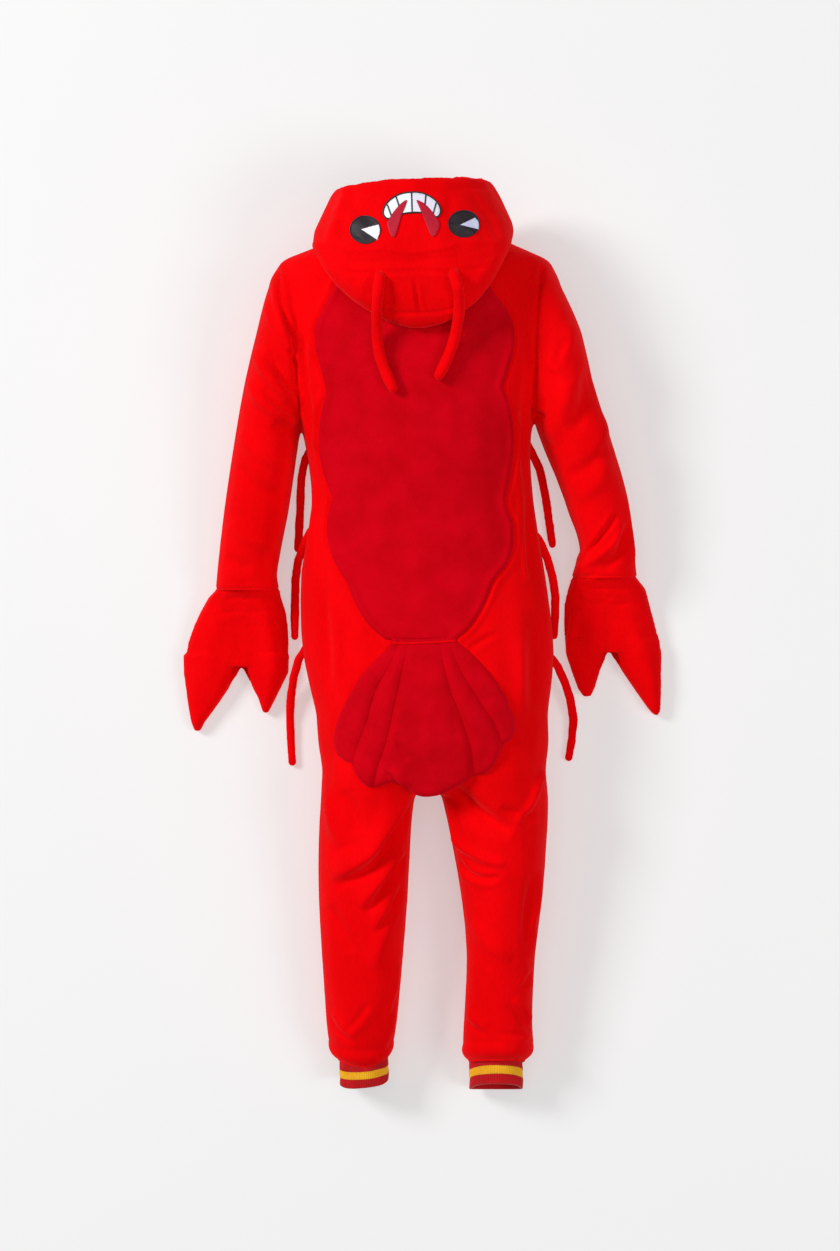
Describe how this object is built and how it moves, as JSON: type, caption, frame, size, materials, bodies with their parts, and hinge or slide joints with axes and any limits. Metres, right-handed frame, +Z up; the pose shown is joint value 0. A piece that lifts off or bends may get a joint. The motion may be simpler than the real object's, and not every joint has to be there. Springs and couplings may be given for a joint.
{
  "type": "lobster costume",
  "caption": "Hooded one-piece plush lobster suit lying on its front, with claw mittens, fan tail, antennae, side legs and ribbed ankle cuffs.",
  "frame": {"origin": "on the floor under the suit, at the middle of its length and width", "axes": "+Y from the ankle cuffs to the hood, +Z up out of the suit's back, +X to the right seen from above with the hood away from the viewer"},
  "size_m": [0.83, 1.5512, 0.2789],
  "materials": {
    "plush": "short-pile plush",
    "dark_plush": "short-pile plush",
    "mandible_felt": "satin-stitched felt",
    "rib_knit": "ribbed knit",
    "stripe_knit": "ribbed knit",
    "black_felt": "satin-stitched felt",
    "white_felt": "satin-stitched felt"
  },
  "bodies": {
    "root": {"torso": "plush", "sleeve_left": "plush", "sleeve_right": "plush", "forearm_left": "plush", "forearm_right": "plush", "leg_left": "plush", "leg_right": "plush", "claw_left": "plush", "claw_right": "plush", "hood": "plush", "hood_back": "plush", "antenna_left": "plush", "antenna_right": "plush", "side_leg_left_1": "plush", "side_leg_left_2": "plush", "side_leg_left_3": "plush", "side_leg_right_1": "plush", "side_leg_right_2": "plush", "side_leg_right_3": "plush", "back_panel": "dark_plush", "tail_fan": "dark_plush", "cuff_left": "rib_knit", "cuff_stripe_left": "stripe_knit", "cuff_end_left": "rib_knit", "cuff_right": "rib_knit", "cuff_stripe_right": "stripe_knit", "cuff_end_right": "rib_knit", "eye_left": "black_felt", "eye_right": "black_felt", "eye_glint_left": "white_felt", "eye_glint_right": "white_felt", "mouth": "white_felt", "mouth_line": "black_felt", "mandible_left": "mandible_felt", "mandible_right": "mandible_felt"}
  },
  "joints": []
}
